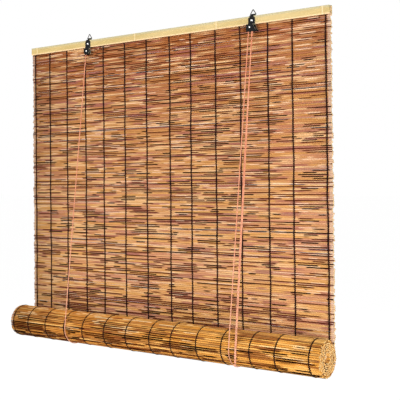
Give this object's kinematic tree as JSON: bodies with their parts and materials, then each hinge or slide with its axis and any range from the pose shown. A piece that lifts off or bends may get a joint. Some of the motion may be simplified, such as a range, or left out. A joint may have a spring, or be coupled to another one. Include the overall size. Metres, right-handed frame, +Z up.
{
  "type": "bamboo roll up blind",
  "caption": "Reed roll-up blind on a split bamboo head batten, partly rolled up in two cord slings, with a pulley hanger, a cord lock and hanging rings.",
  "frame": {"origin": "middle of the head batten's back face, where it lies against a wall or window frame", "axes": "+X to the right as seen from the room, +Y into the wall, +Z up"},
  "size_m": [1.016, 0.1, 0.8849],
  "materials": {
    "bamboo": "pale split bamboo, lightly polished",
    "reed": "carbonised reed with dark streaks, dry satin",
    "rolled_reed": "carbonised reed, back of the mat, golden",
    "thread": "dark twisted warp thread",
    "black_sheet": "black enamelled sheet steel",
    "black_wire": "black enamelled steel wire",
    "bright_steel": "bright zinc plated",
    "nylon": "natural white nylon",
    "zinc_cam": "cast and tumbled",
    "brassed_steel": "brass plated wire",
    "cord": "salmon twisted cord"
  },
  "bodies": {
    "head": {"back_batten": "bamboo", "front_batten": "bamboo", "batten_brads": "bright_steel", "reed_mat": "reed", "mat_threads": "thread", "left_strap": "black_sheet", "right_strap": "black_sheet", "left_pulley_cover": "black_sheet", "right_lock_cover": "black_sheet", "left_screw": "bright_steel", "right_screw": "bright_steel", "left_axle": "bright_steel", "right_axle": "bright_steel", "guide_pin": "bright_steel", "cam_rivet": "bright_steel", "left_cord_eye": "brassed_steel", "right_cord_eye": "brassed_steel", "left_front_cord": "cord", "right_front_cord": "cord", "left_back_cord": "cord", "right_back_cord": "cord", "cross_cord": "cord", "lock_cord": "cord", "pull_cord_front": "cord", "pull_cord_rear": "cord"},
    "left_ring": {"left_ring": "black_wire"},
    "right_ring": {"right_ring": "black_wire"},
    "left_sheave": {"left_sheave": "nylon"},
    "right_rear_sheave": {"right_rear_sheave": "nylon"},
    "right_front_sheave": {"right_front_sheave": "nylon"},
    "lock_cam": {"lock_cam": "zinc_cam"},
    "sling": {"left_sling": "cord", "right_sling": "cord", "pull_knot": "cord"},
    "roll": {"reed_roll": "rolled_reed", "roll_threads": "thread", "bottom_slat": "bamboo"}
  },
  "joints": [
    {"name": "left_ring_swing", "type": "hinge", "parent": "head", "child": "left_ring", "pos_m": [-0.2665, -0.0073, 0.0152], "axis": [1, 0, 0], "range_deg": [-80, 80]},
    {"name": "right_ring_swing", "type": "hinge", "parent": "head", "child": "right_ring", "pos_m": [0.2874, -0.0073, 0.0143], "axis": [1, 0, 0], "range_deg": [-80, 80]},
    {"name": "roll_lift", "type": "slide", "parent": "head", "child": "sling", "axis": [0, 0, 1], "range_m": [0, 0.5428], "deforming": ["reed_mat", "mat_threads", "left_front_cord", "right_front_cord", "left_back_cord", "right_back_cord", "pull_cord_front", "pull_cord_rear"]},
    {"name": "roll_turn", "type": "hinge", "parent": "sling", "child": "roll", "pos_m": [0, -0.0505, -0.8075], "axis": [-1, 0, 0], "range_deg": [0, 720]},
    {"name": "left_sheave_turn", "type": "hinge", "parent": "head", "child": "left_sheave", "pos_m": [-0.2665, -0.0184, -0.0218], "axis": [0, 1, 0], "continuous": true},
    {"name": "right_rear_sheave_turn", "type": "hinge", "parent": "head", "child": "right_rear_sheave", "pos_m": [0.2874, -0.0184, -0.0192], "axis": [0, 1, 0], "continuous": true},
    {"name": "right_front_sheave_turn", "type": "hinge", "parent": "head", "child": "right_front_sheave", "pos_m": [0.2874, -0.0227, -0.0192], "axis": [0, 1, 0], "continuous": true},
    {"name": "lock_cam_turn", "type": "hinge", "parent": "head", "child": "lock_cam", "pos_m": [0.29945, -0.0205, -0.0227], "axis": [0, -1, 0], "range_deg": [0, 25]}
  ],
  "couplings": [
    {"joint": "roll_turn", "follows": "roll_lift", "rad_per_m": 23.148},
    {"joint": "left_sheave_turn", "follows": "roll_lift", "rad_per_m": 425.53},
    {"joint": "right_rear_sheave_turn", "follows": "roll_lift", "rad_per_m": 425.53},
    {"joint": "right_front_sheave_turn", "follows": "roll_lift", "rad_per_m": 425.53}
  ]
}
